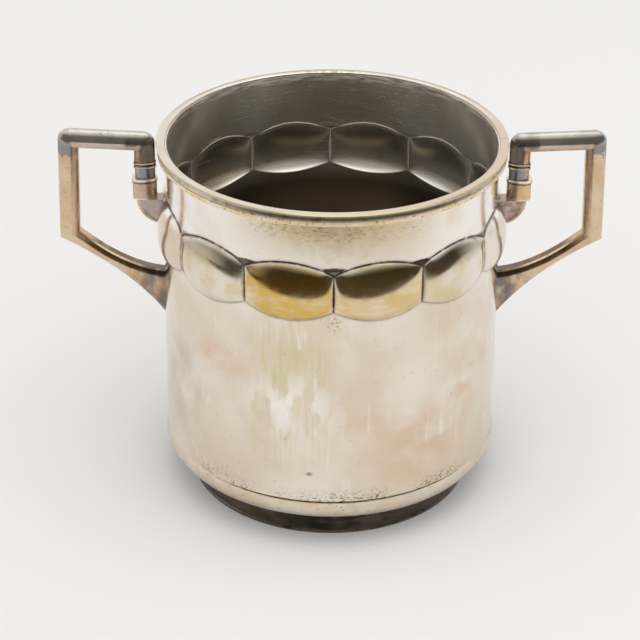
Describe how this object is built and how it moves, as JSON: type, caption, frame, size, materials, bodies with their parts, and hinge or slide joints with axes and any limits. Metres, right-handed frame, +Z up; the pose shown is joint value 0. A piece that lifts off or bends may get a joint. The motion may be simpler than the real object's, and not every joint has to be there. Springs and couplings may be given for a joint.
{
  "type": "champagne cooler",
  "caption": "Round champagne and wine cooler in worn silver plate, with a band of embossed lobes, a moulded mouth, a low foot and angular cast side handles.",
  "frame": {"origin": "centre of the foot ring on the surface the cooler stands on", "axes": "+Z up, +X towards the right handle, -Y towards the pictured front"},
  "size_m": [0.3142, 0.2, 0.2194],
  "materials": {
    "vessel_plate": "silver plate on brass, hand polished, tarnished yellow on the lobes and dull grey inside",
    "mouth_plate": "silver plate on brass, polished lip with dark dirt in the cove",
    "band_plate": "silver plate on brass, soft polish with brown dirt along the crease",
    "foot_plate": "silver plate on brass, darkly tarnished and rubbed along its edge",
    "handle_plate": "worn silver plate with the warm base metal showing through, polished by hands",
    "ferrule_plate": "silver plate on brass, grey tarnish in the grooves between the rings",
    "bracket_plate": "silver plate on brass, rubbed edges and grey tarnish"
  },
  "bodies": {
    "root": {"vessel": "vessel_plate", "mouth_moulding": "mouth_plate", "base_band": "band_plate", "foot_ring": "foot_plate", "handle_right": "handle_plate", "ferrule_right": "ferrule_plate", "bracket_right": "bracket_plate", "handle_left": "handle_plate", "ferrule_left": "ferrule_plate", "bracket_left": "bracket_plate"}
  },
  "joints": []
}
